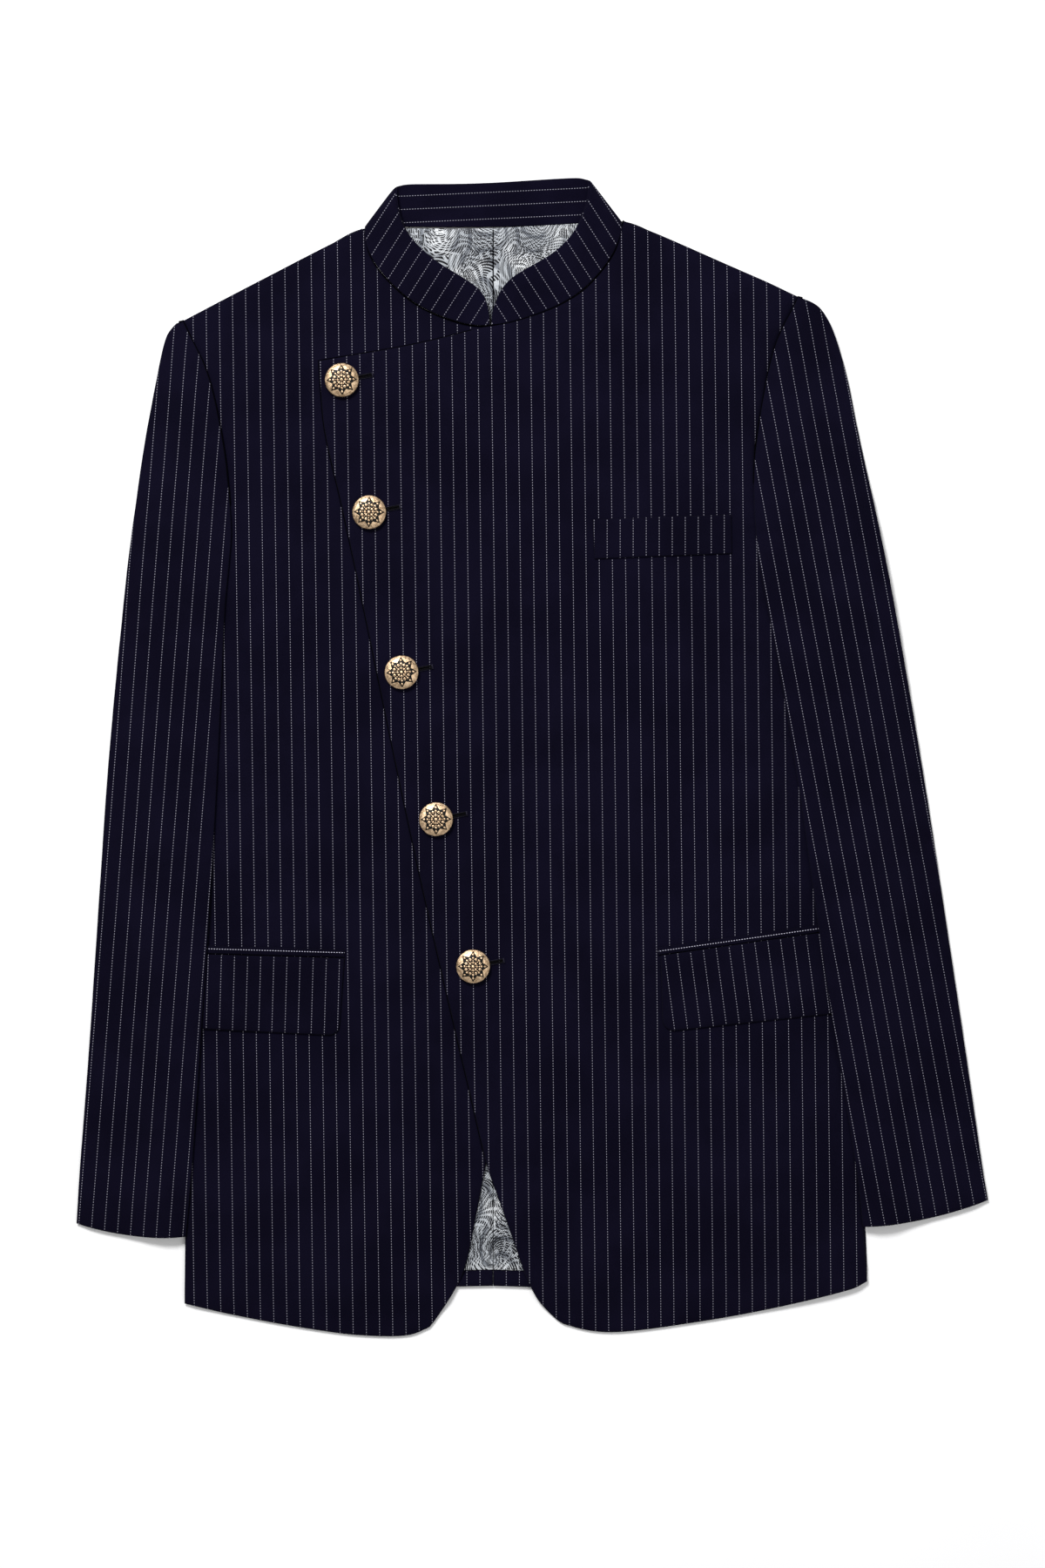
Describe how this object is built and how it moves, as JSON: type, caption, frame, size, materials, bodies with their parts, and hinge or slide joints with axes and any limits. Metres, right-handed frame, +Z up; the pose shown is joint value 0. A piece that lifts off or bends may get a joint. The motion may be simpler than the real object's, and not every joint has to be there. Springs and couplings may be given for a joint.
{
  "type": "nehru jacket",
  "caption": "Nehru jacket in pinstriped wool, laid flat: stand collar, slanting double-breasted front with domed metal buttons, chest welt and flapped hip pockets.",
  "frame": {"origin": "middle of the bounding box, on the surface that the jacket lies on", "axes": "+X to the wearer's left, +Y towards the collar, +Z up out of the front"},
  "size_m": [0.6486, 0.824, 0.0145],
  "materials": {
    "wool": "midnight blue worsted wool with a pale dotted pinstripe",
    "lining": "silver-grey paisley jacquard lining, satin sheen",
    "button_metal": "antique gold with black infill"
  },
  "bodies": {
    "root": {"back_left": "wool", "back_right": "wool", "lining_left": "lining", "lining_right": "lining", "front_left": "wool", "front_right": "wool", "sleeve_top_left": "wool", "sleeve_top_right": "wool", "sleeve_under_left": "wool", "sleeve_under_right": "wool", "collar": "wool", "collar_facing": "wool", "welt_chest": "wool", "jet_left": "wool", "jet_right": "wool", "flap_left": "wool", "flap_right": "wool", "button_1": "button_metal", "button_2": "button_metal", "button_3": "button_metal", "button_4": "button_metal", "button_5": "button_metal"}
  },
  "joints": []
}
